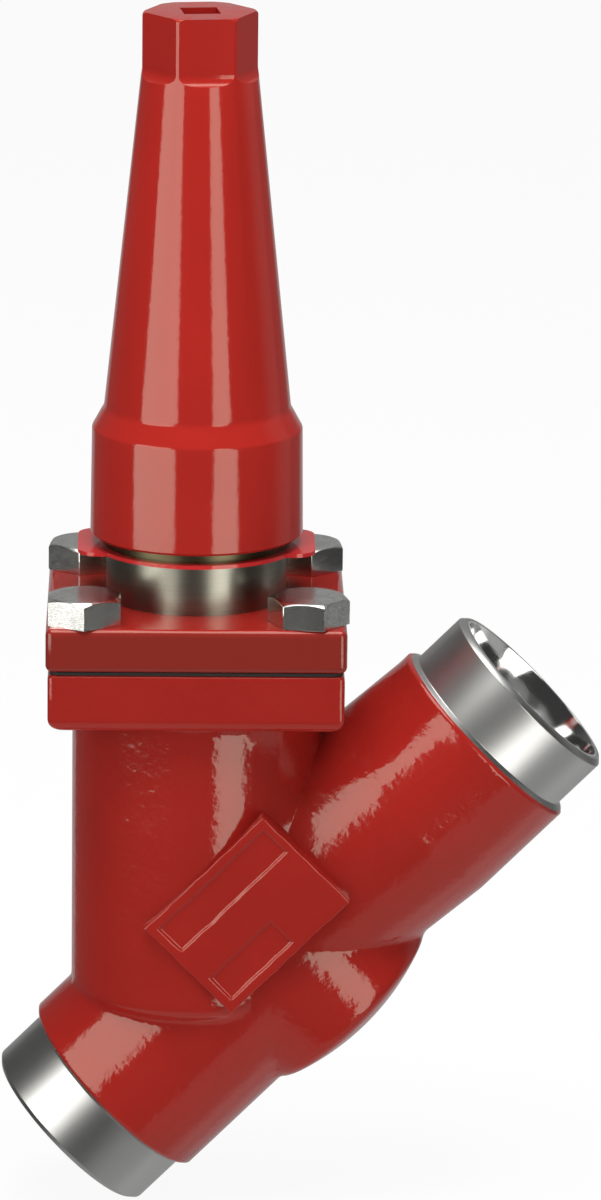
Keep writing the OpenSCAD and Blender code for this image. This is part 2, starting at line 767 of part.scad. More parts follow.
// Washer between the packing and its springs
module packing_top_washer() {
    color("silver") from_inlet()
        ring(packing_r - seat_gap, spindle_r + shaft_gap, rings_top_z, springs_z);
}

// Two disc springs, set edge to edge, that keep the packing loaded
module disc_springs() {
    inner = spindle_r + slip;
    outer = packing_r - slip;
    mid_z = (springs_z + springs_top_z) / 2;
    color("slategray") from_inlet() rotate_extrude() {
        polygon([[inner, springs_z], [outer, springs_z + disc_spring_cone],
            [outer, springs_z + disc_spring_cone + disc_spring_t], [inner, springs_z + disc_spring_t]]);
        polygon([[inner, springs_top_z], [outer, springs_top_z - disc_spring_cone],
            [outer, mid_z], [inner, springs_top_z - disc_spring_t]]);
    }
}

// Screwed gland that presses the packing, with a hexagon head
module packing_gland() {
    color("khaki") from_inlet() difference() {
        union() {
            rod(packing_r - seat_gap, gland_z - gland_spacer_h, bonnet_end_z + over);
            translate([0, 0, bonnet_end_z])
                cylinder(r = gland_af / 2 / cos(30), h = gland_head_h, $fn = 6);
        }
        rod(spindle_r + shaft_gap, springs_top_z - over, bonnet_end_z + gland_head_h + over);
        ring(packing_r, packing_r - o_ring_t, seal_z, seal_z + o_ring_t);
        rod(spindle_r + o_ring_t, wiper_z - o_ring_t / 2, wiper_z + o_ring_t / 2);
    }
}

// O-ring around the gland
module gland_seal_ring() {
    color("black") from_inlet() translate([0, 0, seal_z + o_ring_t / 2]) rotate_extrude()
        translate([packing_r - seat_gap - o_ring_t / 2, 0]) circle(d = o_ring_t - 2 * seat_gap);
}

// O-ring in the gland's head that wipes the spindle
module gland_wiper_ring() {
    color("black") from_inlet() translate([0, 0, wiper_z]) rotate_extrude()
        translate([spindle_r + shaft_gap + o_ring_t / 2, 0]) circle(d = o_ring_t - 2 * shaft_gap);
}

valve_housing();
bonnet();
bonnet_gasket();
bonnet_bolts();
id_tag();
cap_gasket();
cap();
spindle();
valve_cone();
seat_ring();
seat_retainer();
retainer_screw();
cone_nut();
cone_lock_screw();
thrust_ball();
packing_base_washer();
packing_rings();
packing_top_washer();
disc_springs();
packing_gland();
gland_seal_ring();
gland_wiper_ring();
back_seat_ring();
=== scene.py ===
import math

import bmesh
import bpy
import numpy as np
from mathutils import Matrix, Vector, noise


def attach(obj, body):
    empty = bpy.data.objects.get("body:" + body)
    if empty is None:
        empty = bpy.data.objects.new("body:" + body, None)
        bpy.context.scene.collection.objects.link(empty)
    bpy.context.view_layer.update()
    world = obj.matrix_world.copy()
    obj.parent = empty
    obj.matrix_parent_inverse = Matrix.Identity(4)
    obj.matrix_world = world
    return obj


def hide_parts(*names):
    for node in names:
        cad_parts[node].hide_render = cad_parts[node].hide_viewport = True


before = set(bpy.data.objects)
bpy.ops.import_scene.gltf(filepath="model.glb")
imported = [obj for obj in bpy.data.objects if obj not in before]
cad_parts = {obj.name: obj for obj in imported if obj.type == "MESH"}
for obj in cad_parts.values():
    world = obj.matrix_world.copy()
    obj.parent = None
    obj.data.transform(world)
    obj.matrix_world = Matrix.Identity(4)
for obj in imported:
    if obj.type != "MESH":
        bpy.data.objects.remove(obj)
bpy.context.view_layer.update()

# Lengths are in millimetres here and become metres where a mesh is made
MM = 0.001
PICTURE = (601, 1200)

# Sizes that the pieces share with the solids
CROSSING = 42.5 / math.sqrt(2)
PIPE_TILT = math.radians(45)


# Shader maths


class Level:
    """A number that varies over a surface. Arithmetic on it adds Math nodes."""

    def __init__(self, nodes, socket):
        self.nodes = nodes
        self.socket = socket

    def math(self, operation, *values):
        return self.nodes.node("Math", {"operation": operation}, dict(enumerate(values)))

    def __add__(self, other):
        return self.math("ADD", self, other)

    def __radd__(self, other):
        return self.math("ADD", other, self)

    def __sub__(self, other):
        return self.math("SUBTRACT", self, other)

    def __rsub__(self, other):
        return self.math("SUBTRACT", other, self)

    def __mul__(self, other):
        return self.math("MULTIPLY", self, other)

    def __rmul__(self, other):
        return self.math("MULTIPLY", other, self)

    def __pow__(self, other):
        return self.math("POWER", self, other)

    def size(self):
        return self.math("ABSOLUTE", self)

    def most(self, other):
        return self.math("MAXIMUM", self, other)

    def rise(self, low, high):
        """0 below low, 1 above high, smooth between them."""
        return self.nodes.node("MapRange", {"interpolation_type": "SMOOTHSTEP"},
                               {"Value": self, "From Min": low, "From Max": high})


class Nodes:
    """Adds nodes to one material or to the world."""

    def __init__(self, tree):
        self.tree = tree

    def feed(self, socket, value):
        if isinstance(value, Level):
            self.tree.links.new(value.socket, socket)
        else:
            socket.default_value = value

    def node(self, kind, settings=None, inputs=None, out=0):
        made = self.tree.nodes.new("ShaderNode" + kind)
        for name, value in (settings or {}).items():
            setattr(made, name, value)
        for name, value in (inputs or {}).items():
            self.feed(made.inputs[name], value)
        return Level(self, made.outputs[out])

    def blend(self, factor, first, second):
        """Colour that goes from first to second with factor."""
        return self.node("Mix", {"data_type": "RGBA"}, {0: factor, 6: first, 7: second}, out=2)

    def parts(self, vector):
        """X, Y and Z of a vector."""
        split = self.node("SeparateXYZ", None, {0: vector})
        return [Level(self, socket) for socket in split.socket.node.outputs]

    def rays(self, *kinds):
        """1 for each kind of ray on its own, named as the Light Path node names it, otherwise 0."""
        outputs = self.node("LightPath").socket.node.outputs
        return [Level(self, outputs["Is " + kind + " Ray"]) for kind in kinds]


class Finish(Nodes):
    """A material with one Principled shader."""

    def __init__(self, name, color, roughness, **constants):
        self.material = bpy.data.materials.new(name)
        self.material.use_nodes = True
        super().__init__(self.material.node_tree)
        self.shader = self.tree.nodes["Principled BSDF"]
        self.set(Base_Color=rgba(color), Roughness=roughness, **constants)
        self.place = self.node("TexCoord", out="Object")

    def set(self, **values):
        for name, value in values.items():
            self.feed(self.shader.inputs[name.replace("_", " ")], value)

    def turned(self, turn, stretch, centre=(0, 0, 0)):
        """Object coordinates moved to a centre, turned and then stretched."""
        moved = self.node("Mapping", {"vector_type": "TEXTURE"},
                          {"Vector": self.place, "Location": centre, "Rotation": turn})
        return self.node("Mapping", None, {"Vector": moved, "Scale": stretch})

    def grain(self, size, detail=2.0, rough=0.5, where=None):
        """Noise whose lumps are about size millimetres across."""
        return self.node("TexNoise", None, {"Vector": where or self.place, "Scale": 1 / (size * MM),
                                            "Detail": detail, "Roughness": rough})

    def bumps(self, height, depth, strength=1.0, over=None):
        """Bump from a height of 0 to 1, depth in millimetres."""
        inputs = {"Height": height, "Distance": depth * MM, "Strength": strength}
        if over is not None:
            inputs["Normal"] = over
        return self.node("Bump", None, inputs)


def rgba(color):
    return (*color, 1.0)


def darker(color, share):
    return tuple(c * share for c in color)


# Finishes


def enamel(name, color, peel, lumps):
    """Glossy enamel: peel is the depth of its orange peel, lumps that of the casting below."""
    made = Finish(name, color, 0.1, IOR=1.5, Specular_Tint=(0.93, 1.0, 0.85, 1.0))
    patches = made.grain(26, detail=3)
    made.set(Base_Color=made.blend(patches.rise(0.35, 0.7), rgba(darker(color, 0.93)), rgba(color)))
    skin = made.bumps(made.grain(1.4, detail=1.5), peel)
    if lumps:
        skin = made.bumps(made.grain(5, detail=1), lumps, over=skin)
        ripples = made.turned((0, 0, 0), (0.6, 0.6, 1))
        skin = made.bumps(made.grain(2.0, detail=1.5, where=ripples), peel, over=skin)
        made.set(Roughness=0.09 + 0.06 * made.grain(9, detail=3))
    made.set(Normal=skin)
    return made


def steel(name, color, roughness, grain=None, fine=1.0, contrast=0.14, depth=0.004):
    """Bare machined steel. Its tool marks run along the grain.

    fine is the size of the marks, contrast how dark and depth how deep they get."""
    made = Finish(name, color, roughness, Metallic=1.0)
    tool = made.grain(7, detail=3)
    if grain:
        marks = made.grain(fine, detail=3, rough=0.65, where=made.turned(*grain))
        made.set(Roughness=roughness * 0.8 + roughness * 0.4 * marks,
                 Normal=made.bumps(marks, depth))
        tool = (0.4 * tool + 0.6 * marks).rise(0.38, 0.62)
    made.set(Base_Color=made.blend(tool, rgba(darker(color, 1 - contrast)), rgba(color)))
    return made


# Tool marks that run round the spindle's axis and round the pipe's axis, and a mesh of marks
LATHE = (0.06, 0.06, 5.0)
ROUND_Z = ((0, 0, 0), LATHE, (CROSSING * MM, 0, 0))
ROUND_PIPE = ((0, PIPE_TILT, 0), LATHE, (0, 0, 0))
MESH = ((0, 0, 0), (1, 1, 2.2))

# All the enamel starts from one red. The casting's is darkened by 0.8 and the cap's by 0.92: the
# cap's lighter red is painted light, for the more light that falls on the cap than on the casting
# under the flanges
RED = (0.36, 0.0175, 0.0128)
casting_red = enamel("red_enamel_casting", darker(RED, 0.8), 0.055, 0.08)
lit_cap_red = enamel("red_enamel_cap", darker(RED, 0.92), 0.018, 0)
tag_red = enamel("tag_enamel", (0.50, 0.022, 0.024), 0.02, 0)

# The bonnet's flange has painted shade on its sides: they are darker than its top, for the less
# light that falls on them
SHADED_SIDE_RED, SIDE_TOP, TOP_FOOT = (0.195, 0.018, 0.0128), 132.8, 133.7
flange_red = enamel("red_enamel_flange", RED, 0.02, 0.03)
above = flange_red.parts(flange_red.place)[2].rise(SIDE_TOP * MM, TOP_FOOT * MM)
flange_red.set(Base_Color=flange_red.blend(above, rgba(SHADED_SIDE_RED), rgba(darker(RED, 0.8))))

# The weld ends are turned outside and smoother and paler in the bore
BORE_STEEL, TURNED_STEEL = (0.72, 0.72, 0.71), (0.48, 0.48, 0.47)
BORE_EDGE, TURNED_EDGE = 21.7, 22.3
stub_steel = steel("weld_end_steel", TURNED_STEEL, 0.28, ROUND_PIPE)
across, sideways, _ = stub_steel.parts(stub_steel.turned((0, PIPE_TILT, 0), (1, 1, 1)))
outside = ((across * across + sideways * sideways) ** 0.5).rise(BORE_EDGE * MM, TURNED_EDGE * MM)
stub_steel.set(Roughness=0.09 + 0.25 * outside,
               Base_Color=stub_steel.blend(outside, rgba(BORE_STEEL), rgba(TURNED_STEEL)))

neck_steel = steel("turned_steel", (0.25, 0.245, 0.20), 0.3, ROUND_Z)
bolt_steel = steel("stainless_bolts", (0.74, 0.74, 0.71), 0.2, MESH,
                   fine=0.9, contrast=0.26, depth=0.008)
inner_steel = steel("machined_steel", (0.55, 0.55, 0.55), 0.3, ROUND_Z)
gland_steel = steel("gland_steel", (0.50, 0.48, 0.42), 0.32, ROUND_Z)
spindle_steel = steel("stainless_spindle", (0.68, 0.68, 0.68), 0.16, ROUND_Z)
ball_steel = steel("ball_steel", (0.75, 0.75, 0.76), 0.06)
spring_steel = steel("spring_steel", (0.42, 0.43, 0.45), 0.34)
# The gasket's olive brass is its own colour, darkened to a painted shade for the shadow under the
# cap's rim
gasket_brass = steel("gasket_brass", (0.10, 0.088, 0.048), 0.33, ROUND_Z)


def plain(name, color, roughness, grain_size, depth):
    """Rubber, plastic or fibre with a fine grain."""
    made = Finish(name, color, roughness)
    grain = made.grain(grain_size, detail=3)
    made.set(Base_Color=made.blend(grain, rgba(darker(color, 0.85)), rgba(color)),
             Roughness=roughness * 0.9 + roughness * 0.2 * grain, Normal=made.bumps(grain, depth))
    return made


gasket_fibre = plain("gasket_fibre", (0.012, 0.011, 0.01), 0.8, 0.6, 0.03)
seat_plastic = plain("seat_plastic", (0.80, 0.78, 0.70), 0.4, 2, 0.01)
packing_plastic = plain("packing_plastic", (0.82, 0.81, 0.78), 0.42, 2, 0.01)
o_ring_rubber = plain("o_ring_rubber", (0.012, 0.012, 0.013), 0.5, 1, 0.01)

SOLID_FINISHES = {
    "valve_housing": casting_red, "bonnet": neck_steel, "bonnet_gasket": gasket_fibre,
    "bonnet_bolts": bolt_steel, "id_tag": tag_red, "cap_gasket": gasket_brass, "cap": lit_cap_red,
    "spindle": spindle_steel, "valve_cone": inner_steel, "seat_ring": seat_plastic,
    "seat_retainer": inner_steel, "retainer_screw": bolt_steel, "cone_nut": inner_steel,
    "cone_lock_screw": bolt_steel, "thrust_ball": ball_steel, "packing_base_washer": inner_steel,
    "packing_rings": packing_plastic, "packing_top_washer": inner_steel,
    "disc_springs": spring_steel, "packing_gland": gland_steel,
    "gland_seal_ring": o_ring_rubber, "gland_wiper_ring": o_ring_rubber,
    "back_seat_ring": packing_plastic,
}
for name, finish in SOLID_FINISHES.items():
    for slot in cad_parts[name].material_slots:
        slot.material = finish.material


# Shapes, in millimetres from the crossing of the barrel's and the pipe's axes


def turned_shape(outline, ring=False, steps=96):
    """Solid turned round Z from (radius, height) points that start and end on the axis.

    The points of a ring close on themselves instead."""
    shape = bmesh.new()
    corners = [shape.verts.new((r, 0, z)) for r, z in outline]
    ends = corners[1:] + corners[:1] if ring else corners[1:]
    edges = [shape.edges.new(pair) for pair in zip(corners, ends)]
    bmesh.ops.spin(shape, geom=corners + edges, cent=(0, 0, 0), axis=(0, 0, 1),
                   angle=2 * math.pi, steps=steps, use_merge=True)
    bmesh.ops.remove_doubles(shape, verts=shape.verts, dist=1e-4)
    bmesh.ops.recalc_face_normals(shape, faces=shape.faces)
    return shape


def rod(radius, low, high, steps=96):
    return turned_shape([(0, low), (radius, low), (radius, high), (0, high)], steps=steps)


def box(low, high):
    """Box between two corners."""
    shape = bmesh.new()
    bmesh.ops.create_cube(shape, size=1)
    bmesh.ops.scale(shape, verts=shape.verts, vec=Vector(high) - Vector(low))
    bmesh.ops.translate(shape, verts=shape.verts, vec=(Vector(low) + Vector(high)) / 2)
    return shape


def moved(shape, x, y, z):
    bmesh.ops.translate(shape, verts=shape.verts, vec=(x, y, z))
    return shape


def spun(shape, angle, axis="Z"):
    """Shape turned by an angle in degrees about an axis through the crossing."""
    bmesh.ops.rotate(shape, verts=shape.verts, matrix=Matrix.Rotation(math.radians(angle), 3, axis))
    return shape


def along_pipe(shape):
    return spun(shape, 45, "Y")


def joined(*shapes):
    """All the shapes in one."""
    whole = bmesh.new()
    for shape in shapes:
        mesh = bpy.data.meshes.new("work")
        shape.to_mesh(mesh)
        shape.free()
        whole.from_mesh(mesh)
        bpy.data.meshes.remove(mesh)
    return whole


def work_object(shape):
    mesh = bpy.data.meshes.new("work")
    shape.to_mesh(mesh)
    shape.free()
    made = bpy.data.objects.new("work", mesh)
    bpy.context.scene.collection.objects.link(made)
    return made


def modified(shape, kind, **settings):
    """Shape after one modifier."""
    work = work_object(shape)
    modifier = work.modifiers.new(kind, kind)
    for name, value in settings.items():
        setattr(modifier, name, value)
    result = bmesh.new()
    result.from_object(work, bpy.context.evaluated_depsgraph_get())
    bpy.data.objects.remove(work)
    return result


def combined(operation, shape, *tools):
    """Shape with each tool cut away, added or kept in common."""
    for tool in tools:
        other = work_object(tool)
        shape = modified(shape, "BOOLEAN", operation=operation, solver="MANIFOLD", object=other)
        bpy.data.objects.remove(other)
    return shape


def cut(shape, *tools):
    return combined("DIFFERENCE", shape, *tools)


def sharp_edges(shape, angle=30):
    return [e for e in shape.edges if len(e.link_faces) == 2
            and e.calc_face_angle() > math.radians(angle)]


def eased(shape, width, angle=30, segments=2, edges=None):
    """Shape with its sharp edges rounded."""
    bmesh.ops.bevel(shape, geom=edges or sharp_edges(shape, angle), offset=width, affect="EDGES",
                    segments=segments, profile=0.5, material=-1, clamp_overlap=True)
    return shape


def piece(name, shape, finish, slot, *nodes, body="housing_body", smooth=32, flat=100):
    """Makes a shape a piece of the object that stands for CAD nodes and rides on a body.

    Faces of more than flat square millimetres are shaded flat."""
    bmesh.ops.translate(shape, verts=shape.verts, vec=(CROSSING, 0, CROSSING))
    bmesh.ops.scale(shape, verts=shape.verts, vec=(MM, MM, MM))
    mesh = bpy.data.meshes.new(name)
    shape.to_mesh(mesh)
    shape.free()
    mesh.materials.append(finish.material)
    mesh.shade_smooth()
    mesh.set_sharp_from_angle(angle=math.radians(smooth))
    for face in mesh.polygons:
        if face.area > flat * MM ** 2:
            for loop in face.loop_indices:
                mesh.edges[mesh.loops[loop].edge_index].use_edge_sharp = True
    made = bpy.data.objects.new(name, mesh)
    bpy.context.scene.collection.objects.link(made)
    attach(made, body)
    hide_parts(*nodes)
    return made


# Housing


# Heights along the spindle's axis
BARREL_FOOT, SEAT_TOP, FLANGE_FOOT, JOINT = 5.5, 13, 78.6, 92.6
# Heights of the two ends along the pipe's axis
INLET, OUTLET = -42.5, 114.2
# Lengths of a bare end, of the bare shoulder behind it, of the paint's lip and of the wide bore
STUB, BARE, LIP, BORE_LENGTH = 14.6, 0.8, 0.7, 17
BARREL_R, CHAMBER_R, BRANCH_R = 29.45, 25.45, 26.4
WELD_R, BORE_R, PASSAGE_R = 24.15, 21.55, 21.05
# The belly's height along the pipe, its radius, reach and wall, and the radii of its dome and edge
BELLY_AT, BELLY_R, BELLY_REACH, BELLY_WALL = 28.5, 26.3, 30.4, 4.8
BELLY_DOME, BELLY_EDGE = 62, 3
# The outlet's root and bend, as (lean, height, radius) at their ends
ROOT, KNEE, STRAIGHT = (4.3, BELLY_AT, BRANCH_R), (0.9, 72, 27.2), (0, 94.9, 26.25)
BOLTS = [(x, y) for y in (-26.35, 26.35) for x in (-26.35, 26.35)]
# A height along the pipe's axis that is past the outlet
PAST = 130


def arc(radius, across, up, start, end, count):
    """Points of an arc round a centre, between two angles from the outward direction."""
    return [(across + radius * math.cos(t), up + radius * math.sin(t))
            for t in np.linspace(start, end, count)]


def belly(inset):
    """Belly under the seat, square to the pipe, closed by a shallow dome with a rounded edge."""
    edge, dome, centre = BELLY_R - inset - BELLY_EDGE, BELLY_DOME - inset, BELLY_REACH - BELLY_DOME
    lean = math.asin(edge / (dome - BELLY_EDGE))
    side = arc(BELLY_EDGE, edge, centre + edge / math.tan(lean), 0, math.pi / 2 - lean, 7)
    crown = [(dome * math.sin(t), centre + dome * math.cos(t))
             for t in np.linspace(lean, 0, 16)[1:]]
    shape = turned_shape([(0, 0), (BELLY_R - inset, 0)] + side + crown, steps=128)
    return along_pipe(moved(spun(shape, 90, "Y"), 0, 0, BELLY_AT))


def leaning_pipe(low, high, lap=2.5):
    """Round length between two (lean, height, radius) ends."""
    (low_lean, low_z, low_r), (high_lean, high_z, high_r) = low, high
    run, rise = low_lean - high_lean, high_z - low_z
    length = math.hypot(run, rise) + lap
    shape = turned_shape([(0, 0), (low_r, 0), (high_r, length), (0, length)], steps=128)
    shape = spun(shape, math.degrees(math.atan2(run, rise)), "Y")
    return along_pipe(moved(shape, -low_lean, 0, low_z))


def blended(shape, rounds, more_above):
    """Fills the inner corners of a fine mesh, as a casting's are. Outer corners stay.

    The corner between barrel and outlet gets more rounds."""
    mesh = bpy.data.meshes.new("work")
    shape.to_mesh(mesh)
    count = len(mesh.vertices)
    place = np.empty(count * 3)
    mesh.vertices.foreach_get("co", place)
    place = place.reshape(-1, 3)
    pairs = np.empty(len(mesh.edges) * 2, dtype=int)
    mesh.edges.foreach_get("vertices", pairs)
    a, b = pairs.reshape(-1, 2).T
    near = np.bincount(np.concatenate((a, b)), minlength=count)[:, None]

    def pull():
        total = np.stack([np.bincount(a, place[b, i], count) + np.bincount(b, place[a, i], count)
                          for i in range(3)], axis=1)
        return total / near - place

    for _ in range(3):
        place += 0.5 * pull()
        place -= 0.53 * pull()
    x, z = place[:, 0], place[:, 2]
    upper = (np.clip((z - 30) / 10, 0, 1) * np.clip((x - 12) / 8, 0, 1)
             * np.clip((46 - x) / 8, 0, 1))
    for turn in range(rounds + more_above):
        mesh.vertices.foreach_set("co", place.ravel())
        mesh.update()
        out = np.empty(count * 3)
        mesh.vertices.foreach_get("normal", out)
        out = out.reshape(-1, 3)
        fill = np.maximum((pull() * out).sum(axis=1), 0)
        place += out * (fill if turn < rounds else fill * upper)[:, None]
    mesh.vertices.foreach_set("co", place.ravel())
    shape.clear()
    shape.from_mesh(mesh)
    bpy.data.meshes.remove(mesh)
    return shape


def bare_inside(x, y, z):
    """Whether a place on the casting is inside it, where it has no paint."""
    run, off = (x + z) / math.sqrt(2), (x - z) / math.sqrt(2)
    in_pipe = math.hypot(off, y) < BORE_R + 0.2
    in_belly = off > 0 and math.hypot(run - BELLY_AT, y) < 21.6 and off < 25.7
    in_chamber = z > SEAT_TOP - 0.5 and math.hypot(x, y) < CHAMBER_R + 0.05
    return in_pipe or in_belly or in_chamber


def housing_casting():
    """Barrel, branches, belly and their blends, with the seat and the passages inside."""
    foot_r, voxel = 3.6, 0.75
    foot = [(BARREL_R - foot_r + foot_r * math.sin(t), BARREL_FOOT + foot_r - foot_r * math.cos(t))
            for t in np.linspace(0, math.pi / 2, 10)]
    under_flange = [(BARREL_R, 79.1), (32, 79.1), (32, 81), (BARREL_R, 84)]
    barrel = turned_shape([(0, BARREL_FOOT)] + foot + under_flange
                          + [(BARREL_R, JOINT - 0.1), (0, JOINT - 0.1)])
    inlet_branch = along_pipe(rod(BRANCH_R, INLET + STUB - 3, BELLY_AT))
    straight_end = along_pipe(rod(BRANCH_R, KNEE[1], OUTLET - STUB + 3))
    root = leaning_pipe(ROOT, KNEE)
    bend = leaning_pipe(KNEE, STRAIGHT)
    lump = joined(barrel, inlet_branch, straight_end, root, bend, belly(0))
    lump = modified(lump, "REMESH", mode="VOXEL", voxel_size=voxel, adaptivity=0)
    lump = blended(lump, 5, 240)

    chamber = turned_shape([(0, 0), (19, 0), (19, SEAT_TOP + 1), (22, SEAT_TOP + 1), (22, SEAT_TOP),
                            (CHAMBER_R, SEAT_TOP), (CHAMBER_R, 95), (0, 95)])
    elbow = bmesh.new()
    bmesh.ops.create_uvsphere(elbow, u_segments=96, v_segments=48, radius=PASSAGE_R - 0.4)
    inlet = along_pipe(turned_shape([(0, -60), (BORE_R, -60), (BORE_R, INLET + BORE_LENGTH),
                                     (PASSAGE_R, INLET + BORE_LENGTH), (PASSAGE_R, 0), (0, 0)]))
    outlet = along_pipe(turned_shape([(0, 19), (PASSAGE_R, 19), (PASSAGE_R, OUTLET - BORE_LENGTH),
                                      (BORE_R, OUTLET - BORE_LENGTH), (BORE_R, PAST), (0, PAST)]))
    outlet = cut(combined("UNION", outlet, belly(BELLY_WALL)), rod(CHAMBER_R - 0.3, -60, SEAT_TOP))
    in_end, out_end = INLET + STUB + BARE, OUTLET - STUB - BARE
    lip = BRANCH_R - LIP
    in_cut = [(0, -60), (45, -60), (45, in_end + 1), (lip + 1, in_end + 1), (lip, in_end),
              (0, in_end)]
    out_cut = [(0, out_end), (lip, out_end), (lip + 1, out_end - 1), (45, out_end - 1), (45, PAST),
               (0, PAST)]
    lump = cut(lump, along_pipe(turned_shape(in_cut, steps=128)),
               along_pipe(turned_shape(out_cut, steps=128)), chamber, elbow, inlet, outlet)
    for face in lump.faces:
        face.material_index = int(bare_inside(*face.calc_center_median()))
    made = piece("housing_casting", lump, casting_red, "red_enamel_casting", "valve_housing",
                 smooth=50)
    made.data.materials.append(inner_steel.material)
    return made


def rim(shape, height):
    """Sharp edges that lie at a height."""
    return [e for e in sharp_edges(shape, 60) if all(abs(v.co.z - height) < 0.01 for v in e.verts)]


def square(width, low, high, low_r, high_r, corner_r):
    """Square slab with rounded corners and edges. The widest rounding is made first."""
    shape = box((-width / 2, -width / 2, low), (width / 2, width / 2, high))
    rims = ((low, low_r), (high, high_r))
    if low_r > corner_r:
        eased(shape, low_r, segments=8, edges=rim(shape, low))
        rims = rims[1:]
    upright = [e for e in sharp_edges(shape, 12)
               if all(abs(abs(v.co.x) - abs(v.co.y)) < 0.01 for v in e.verts)]
    eased(shape, corner_r, segments=6, edges=upright)
    for height, radius in rims:
        eased(shape, radius, segments=5, edges=rim(shape, height))
    return shape


def body_flange():
    """Square flange of the housing with its tapped holes."""
    tapped_r = 5.05
    shape = square(69.8, FLANGE_FOOT, JOINT, low_r=3.2, high_r=0.4, corner_r=1.2)
    holes = [moved(rod(tapped_r, 70, 100, 32), x, y, 0) for x, y in BOLTS]
    shape = cut(shape, rod(27.5, 70, 100), *holes)
    return piece("body_flange", shape, casting_red, "red_enamel_casting", "valve_housing")


def cast_plate():
    """Raised plate with two recessed panels, enamelled like the rest of it. It ends inside the
    walls that it stands on.
    """
    left, right, bottom, top = -29.1, 0.3, 12.3, 51.7
    shape = box((left, -30.65, bottom), (right, -12.7, top))
    panels = [((-26.8, 14.6), (-18.8, 49.8)), ((-9.5, 14.6), (-2.0, 35.2))]
    for axis, low, high in ((0, left, right), (2, bottom, top)):
        lines = sorted({corner[axis // 2] for panel in panels for corner in panel})
        lines += [v for v in np.arange(low + 1.2, high - 0.6, 2.0)
                  if min(abs(v - line) for line in lines) > 0.7]
        for at in lines:
            spot, way = [0, 0, 0], [0, 0, 0]
            spot[axis], way[axis] = at, 1
            bmesh.ops.bisect_plane(shape, geom=shape.verts[:] + shape.edges[:] + shape.faces[:],
                                   plane_co=spot, plane_no=way)
    for (x0, z0), (x1, z1) in panels:
        inside = [f for f in shape.faces if f.normal.y < -0.9
                  and x0 < f.calc_center_median().x < x1 and z0 < f.calc_center_median().z < z1]
        bmesh.ops.inset_region(shape, faces=inside, thickness=0.35, depth=-0.6,
                               use_even_offset=True)
    eased(shape, 0.75, angle=35, segments=4)
    # Without a seed of its own, the noise would start from the clock
    noise.seed_set(1)
    for v in shape.verts:
        wave = (Vector(noise.noise_vector(v.co * 0.23)) * 0.28
                + Vector(noise.noise_vector(v.co * 0.8)) * 0.1)
        if v.co.y < -20:
            v.co += Vector((wave.x, wave.y * 0.35, wave.z))
    shape = cut(along_pipe(shape), rod(CHAMBER_R + 2, 10, 90),
                along_pipe(rod(PASSAGE_R + 2.5, -30, 80)))
    return piece("cast_plate", shape, casting_red, "red_enamel_casting", "valve_housing", smooth=60)


def weld_end(name, face, root):
    """Bare machined end for welding. Its face and root are heights along the pipe."""
    way = 1 if root > face else -1
    bevel, lip = 1.2, BRANCH_R - LIP
    outline = [(BORE_R, face), (WELD_R - bevel, face), (WELD_R, face + bevel * way), (WELD_R, root),
               (lip - 0.02, root + way * (BARE - 0.02)), (lip - 0.6, root + way * 2),
               (BORE_R + 0.6, root + way * 2), (BORE_R, root + way * BARE)]
    shape = eased(turned_shape(outline, ring=True, steps=128), 0.14, angle=20)
    return piece(name, along_pipe(shape), stub_steel, "machined_steel", "valve_housing")


housing_casting()
body_flange()
cast_plate()
weld_end("inlet_weld_end", INLET, INLET + STUB)
weld_end("outlet_weld_end", OUTLET, OUTLET - STUB)


# Bonnet, bolts and tag


def helix(radius, depth, pitch, low, high, steps=48):
    """Thread ridge wound round a core."""
    shape = bmesh.new()
    half = pitch * 0.46
    points = [(radius - depth - 0.3, -half), (radius - depth, -half), (radius, -pitch * 0.07),
              (radius, pitch * 0.07), (radius - depth, half), (radius - depth - 0.3, half)]
    face = shape.faces.new([shape.verts.new((r, 0, low + z)) for r, z in points])
    turns = (high - low) / pitch
    bmesh.ops.spin(shape, geom=[face], cent=(0, 0, 0), axis=(0, 0, 1), dvec=(0, 0, pitch / steps),
                   angle=2 * math.pi * turns, steps=int(steps * turns))
    bmesh.ops.recalc_face_normals(shape, faces=shape.faces)
    return shape


# Heights of the flange's two sides, of the shoulder that the tag lies on and of the neck's end
BONNET, BONNET_TOP, SHOULDER, BONNET_END = 93.3, 103.7, 115.8, 137.8
BOLT_TURNS = (30, 51, 20, 39)


def bonnet_flange():
    """Painted square flange of the bonnet with its bolt holes."""
    clearance_r = 5.5
    shape = square(70.8, BONNET, BONNET_TOP, low_r=0.3, high_r=0.5, corner_r=1.6)
    holes = [moved(rod(clearance_r, 80, 110, 32), x, y, 0) for x, y in BOLTS]
    shape = cut(shape, rod(20.3, 80, 110), *holes)
    return piece("bonnet_flange", shape, flange_red, "red_enamel_casting", "bonnet")


def bonnet_neck():
    """Turned neck with the cap's thread, and the boss and spigot below."""
    boss = [(10.15, 62.3), (17, 62.3), (17, 86.3), (25.15, 86.3), (25.15, BONNET + 0.4),
            (20.9, BONNET + 0.4)]
    collar = [(20.9, BONNET_TOP - 1), (21.45, BONNET_TOP - 1), (21.45, SHOULDER - 0.4),
              (21.05, SHOULDER)]
    neck = [(17.75, SHOULDER), (17.75, BONNET_END - 0.8), (17.0, BONNET_END)]
    bore = [(12.5, BONNET_END), (12.5, 98), (10.15, 98)]
    core = turned_shape(boss + collar + neck + bore, ring=True, steps=128)
    shape = joined(core, helix(19, 1.25, 2, SHOULDER + 1.1, BONNET_END - 1.3))
    return piece("bonnet_neck", shape, neck_steel, "turned_steel", "bonnet")


